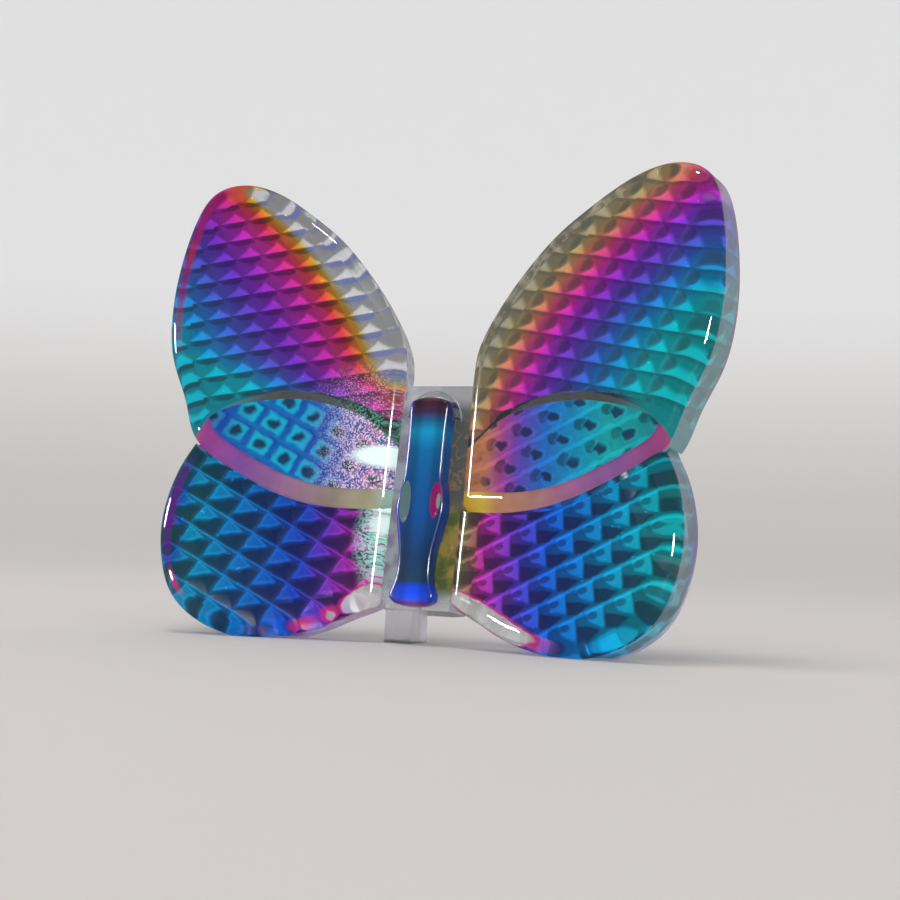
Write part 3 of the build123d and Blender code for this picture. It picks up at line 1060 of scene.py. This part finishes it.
def body_outline():
    """Outline of the body, up its right side, over the arch and down to the lip."""
    right = smooth_path([(half, height) for height, half in BODY_SIDE], BODY_SPACING)
    top = smooth_path(BODY_ARCH, BODY_SPACING)
    left = [Vector((-point.x, point.y)) for point in reversed(right)]
    lip = smooth_path(BODY_LIP, BODY_SPACING)
    return right[:-1] + top[:-1] + left[:-1] + lip[:-1]


def almond_cutter(centre, radii):
    """Rounded cutter for one of the body's hollows."""
    sheet = bmesh.new()
    bmesh.ops.create_uvsphere(sheet, u_segments=32, v_segments=20, radius=MM)
    turn = Matrix((SIDE * radii[0], UP * radii[1], FRONT * ALMOND_REACH)).transposed().to_4x4()
    place = Matrix.Translation(bar_place(*centre, BODY_BACK + BODY_PROUD - LIP_FALL / 2 + ALMOND_LIFT))
    bmesh.ops.transform(sheet, matrix=place @ turn, verts=sheet.verts)
    return made_piece(sheet, "almond")


def body_mesh():
    """Raised bar with a softened front edge and an almond hollow on either side."""
    sheet = bmesh.new()
    corners = [sheet.verts.new(bar_place(point.x, point.y, BODY_BACK)) for point in body_outline()]
    grown = bmesh.ops.extrude_face_region(sheet, geom=[sheet.faces.new(corners)])["geom"]
    front = [part for part in grown if isinstance(part, bmesh.types.BMFace)]
    corners = [part for part in grown if isinstance(part, bmesh.types.BMVert)]
    bmesh.ops.translate(sheet, vec=FRONT * BODY_PROUD * MM, verts=corners)
    for corner in corners:
        fall = LIP_FALL * (BODY_TOP * MM - UP.dot(corner.co - HINGE * MM)) / (BODY_TOP - BODY_BOTTOM)
        corner.co -= FRONT * fall
    bmesh.ops.bevel(
        sheet, geom=[edge for face in front for edge in face.edges], offset=BODY_ROUND * MM, segments=5,
        profile=0.5, affect="EDGES", material=-1,
    )
    bmesh.ops.recalc_face_normals(sheet, faces=sheet.faces)
    body = made_piece(sheet, "body_glass")
    cutters = [almond_cutter(centre, radii) for centre, radii in ALMONDS]
    for cutter in cutters:
        cut = body.modifiers.new("almond", "BOOLEAN")
        cut.operation, cut.solver, cut.object = "DIFFERENCE", "EXACT", cutter
    finished = body.evaluated_get(bpy.context.evaluated_depsgraph_get())
    body_shape = bpy.data.meshes.new_from_object(finished)
    body.modifiers.clear()
    body.data = body_shape
    for cutter in cutters:
        bpy.data.objects.remove(cutter)
    for face in body_shape.polygons:
        face.use_smooth = True
    body_shape.set_sharp_from_angle(angle=BODY_CREASE)
    body_shape.materials.clear()
    body_shape.materials.append(body_material())
    return body


def collar_mesh(glass):
    """Clear rounded arch that the body's top stands in."""
    sheet = bmesh.new()
    corners = [sheet.verts.new(bar_place(out, COLLAR_CENTRE, ahead)) for out, ahead in COLLAR_SECTION]
    bmesh.ops.spin(
        sheet, geom=[sheet.faces.new(corners)], cent=bar_place(0, COLLAR_CENTRE, 0), axis=FRONT,
        angle=math.pi, steps=32, use_duplicate=False,
    )
    bmesh.ops.remove_doubles(sheet, verts=sheet.verts, dist=0.001 * MM)
    bmesh.ops.recalc_face_normals(sheet, faces=sheet.faces)
    collar = made_piece(sheet, "body_collar")
    collar.data.set_sharp_from_angle(angle=CREASE)
    collar.data.materials.append(glass)
    return collar


def body_fields(surface):
    """Distances right, up the hinge line and forward of the hinge."""
    return [surface.along(direction, HINGE) for direction in (SIDE, UP, FRONT)]


def body_material():
    """Deep blue glass of the body, with the reddish film in its hollows."""
    surface = Surface(
        "body_blue_glass", Roughness=0.25, Specular_IOR_Level=0.3, Coat_Weight=0.3, Coat_Roughness=0.06,
    )
    across, up, ahead = body_fields(surface)
    base = surface.ramp(up, (
        (-21.4, (130, 84, 84)), (-20.9, (104, 62, 140)), (-20.4, (30, 84, 244)), (-19.0, (6, 66, 226)),
        (-18.4, (26, 62, 92)), (-15.5, (12, 56, 100)), (-11.0, (0, 72, 140)), (-6.0, (0, 86, 148)),
        (-3.0, (0, 100, 158)), (-0.8, (0, 142, 190)), (0.6, (18, 88, 130)), (1.5, (60, 40, 74)),
        (2.7, (68, 26, 44)), (3.4, (84, 76, 80)),
    ))
    middle = streak(across, 0.2, 0.9, 0.5)
    colour = surface.scaled_colour(base, 0.66 + middle * 0.4 + (surface.noise(2.5) - 0.5) * 0.14)
    colour = surface.mix(across.step(-1.7, -2.1) * 0.7, colour, (44, 40, 160))
    colour = surface.mix(across.step(1.9, 2.6) * 0.6, colour, (16, 40, 104))
    face = BODY_BACK + BODY_PROUD - (BODY_TOP - up) * (LIP_FALL / (BODY_TOP - BODY_BOTTOM))
    hollow = (ahead - face).step(-0.05, -0.2)
    right = hollow * blot(across, up, (1.95, -8.9), (0.85, 2.3), 0.2)
    left = hollow * blot(across, up, (-1.85, -9.2), (0.85, 2.7), 0.2)
    colour = surface.mix(right * 0.85, colour, (150, 24, 92))
    colour = surface.mix(blot(across, up, (1.95, -8.8), (0.30, 0.9), 0.3) * 0.9, colour, (140, 150, 140))
    colour = surface.mix(left * 0.85, colour, (100, 128, 122))
    return glow(surface, colour, strength=0.7)


def web_material():
    """Clear glass between the wings, tinted by the film's stray colours."""
    surface = Surface("web_tinted_glass", Roughness=0.25, IOR=GLASS_IOR)
    across, up, ahead = body_fields(surface)
    cloud = surface.noise(2.0, 3.0)
    vein = streak(surface.noise(1.5), 0.5, 0.025, 0.03)
    upper = surface.mix(vein * 0.6, (80, 86, 80), (156, 104, 86))
    lower = surface.mix(cloud.step(0.4, 0.6), (78, 92, 48), (140, 124, 60))
    lower = surface.mix(surface.noise(1.1).step(0.62, 0.70) * 0.8, lower, (210, 116, 92))
    right = surface.mix(up.step(-11.0, -8.0), lower, upper)
    right = surface.mix(up.step(0.0, 3.0), right, (92, 98, 98))
    left = surface.mix(cloud.step(0.35, 0.65), (124, 118, 134), (150, 160, 166))
    colour = surface.mix(across.step(-0.5, 0.5), left, right)
    behind = ahead.step(0.6, -1.0)
    colour = surface.mix(behind, colour, surface.mix(cloud, (150, 152, 156), (178, 180, 182)))
    clear = (up.step(2.0, 4.6) * 0.5).most(up.step(-18.5, -21.2) * 0.93).most(behind * 0.75)
    return glow(surface, colour, clear, 0.6)


def body_and_carried():
    """The body and its collar, and the finish of the web and the bonds, whose shapes are carried over."""
    bond = clear_glass("clear_bond_layer")
    finishes = {"web": web_material()}
    body = body_mesh()
    collar = collar_mesh(clear_glass("collar_clear_glass"))
    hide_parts("body")
    for piece, slot in ((body, "body_glass"), (collar, "clear_glass")):
        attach(piece, "root")
    finishes["left_root_bond"] = finishes["right_root_bond"] = finishes["web"]
    for node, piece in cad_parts.items():
        piece.data.materials.clear()
        piece.data.materials.append(finishes.get(node, bond))


# Camera: angles in degrees, distance and lens in millimetres, and the hinge's pixel in the square picture
CAMERA_YAW, CAMERA_PITCH, CAMERA_ROLL = 24.28, -13.06, 6.55
CAMERA_DISTANCE, CAMERA_LENS, SENSOR_WIDTH = 202.0, 68.0, 36.0
PICTURE, HINGE_PIXEL = 900, (440.0, 432.9)


def place_camera():
    """Camera at the photograph's viewing angle, found from the wing outlines."""
    yaw, pitch, roll = (math.radians(angle) for angle in (CAMERA_YAW, CAMERA_PITCH, CAMERA_ROLL))
    towards = SIDE * math.sin(yaw) * math.cos(pitch) + FRONT * math.cos(yaw) * math.cos(pitch)
    towards += UP * math.sin(pitch)
    level = SIDE * math.cos(yaw) - FRONT * math.sin(yaw)
    upright = towards.cross(level)
    right = level * math.cos(roll) + upright * math.sin(roll)
    top = upright * math.cos(roll) - level * math.sin(roll)
    camera = bpy.data.cameras.new("camera")
    camera.lens = CAMERA_LENS
    camera.sensor_width = SENSOR_WIDTH
    camera.clip_start = 0.01
    camera.shift_x = (PICTURE / 2 - HINGE_PIXEL[0]) / PICTURE
    camera.shift_y = (HINGE_PIXEL[1] - PICTURE / 2) / PICTURE
    holder = bpy.data.objects.new("camera", camera)
    turn = Matrix((right, top, towards)).transposed()
    holder.matrix_world = Matrix.Translation((HINGE + towards * CAMERA_DISTANCE) * MM) @ turn.to_4x4()
    bpy.context.scene.collection.objects.link(holder)
    bpy.context.scene.camera = holder


# Lamps: place, aim, width and height, power in watts, and whether only reflections show it
LAMPS = {
    "overhead": ((-60, -40, 420), (0, 0, 20), (150, 120), 0.45, False),
    "right_window": ((280, -190, 90), (0, 0, 25), (50, 70), 1.3, True),
    "left_window": ((-300, -90, 90), (0, 0, 25), (24, 50), 0.6, True),
    "low_window": ((-230, -220, 20), (0, 0, 25), (30, 20), 0.4, True),
    "high_window": ((40, -60, 330), (0, 0, 25), (50, 20), 0.25, True),
}


def area_light(name, spot, aim, size, power, mirrored):
    """Flat lamp that lights the scene, or that shows only as a reflection."""
    lamp = bpy.data.lights.new(name, "AREA")
    lamp.shape = "RECTANGLE"
    lamp.size, lamp.size_y = size[0] * MM, size[1] * MM
    lamp.energy = power
    holder = bpy.data.objects.new(name, lamp)
    place = Vector(spot) * MM
    holder.location = place
    holder.visible_glossy = mirrored
    holder.visible_diffuse = not mirrored
    holder.rotation_euler = (place - Vector(aim) * MM).to_track_quat("Z", "Y").to_euler()
    bpy.context.scene.collection.objects.link(holder)


def mirrored_ray(tree):
    """One where the studio is seen as a reflection, nought where seen directly or through glass."""
    path = tree.nodes.new("ShaderNodeLightPath")
    glossy = Field(tree, path.outputs["Is Glossy Ray"])
    return glossy * (1 - Field(tree, path.outputs["Is Transmission Ray"]))


# Floor: radius of its flat middle, radius and angle of its upward sweep
FLOOR_FLAT, FLOOR_BEND, FLOOR_SWEEP = 300, 1200, math.radians(65)
SWEEP_STEPS, TURN_STEPS = 14, 72
# Heights between which the floor's darker paint, a painted shade, turns lighter
FLOOR_FADE = (-15.0, 170.0)


def floor_bowl():
    """Flat floor that sweeps up all round."""
    sheet = bmesh.new()
    flat, bend = FLOOR_FLAT * MM, FLOOR_BEND * MM
    line = [sheet.verts.new((0, 0, 0))]
    for index in range(SWEEP_STEPS + 1):
        turn = FLOOR_SWEEP * index / SWEEP_STEPS
        line.append(sheet.verts.new((flat + bend * math.sin(turn), 0, bend - bend * math.cos(turn))))
    edges = [sheet.edges.new(pair) for pair in zip(line, line[1:])]
    bmesh.ops.spin(
        sheet, geom=edges + line, cent=(0, 0, 0), axis=(0, 0, 1), angle=2 * math.pi, steps=TURN_STEPS,
        use_merge=True,
    )
    bmesh.ops.remove_doubles(sheet, verts=sheet.verts, dist=0.01 * MM)
    bmesh.ops.recalc_face_normals(sheet, faces=sheet.faces)
    if sum(face.normal.z for face in sheet.faces) < 0:
        bmesh.ops.reverse_faces(sheet, faces=sheet.faces)
    for face in sheet.faces:
        face.smooth = True
    return made_piece(sheet, "pale_floor")


def studio():
    """Pale bowl of a floor, an even sky and the lamps: floor and sky are darker where they are mirrored."""
    floor = floor_bowl()
    surface = Surface("pale_floor_paint", Roughness=0.7, Specular_IOR_Level=0.1)
    height = surface.along(Vector((0, 0, 1)), Vector((0, 0, 0)))
    # Painted shade: the flat floor is painted darker than its sweep, which turns lighter between the fade
    # heights
    paint = surface.mix(height.step(*FLOOR_FADE), (204, 199, 195), (240, 239, 238))
    surface.feed("Base Color", surface.mix(mirrored_ray(surface.tree) * 0.8, paint, (70, 70, 72)))
    floor.data.materials.append(surface.material)

    world = bpy.data.worlds.new("studio")
    bpy.context.scene.world = world
    world.use_nodes = True
    light = world.node_tree.nodes["Background"]
    light.inputs["Color"].default_value = (0.98, 0.985, 1.0, 1)
    strength = 0.95 - mirrored_ray(world.node_tree) * 0.81
    world.node_tree.links.new(strength.socket, light.inputs["Strength"])
    for name, settings in LAMPS.items():
        area_light(name, *settings)


bpy.context.scene.view_settings.view_transform = "Standard"
build_wings()
body_and_carried()
studio()
place_camera()
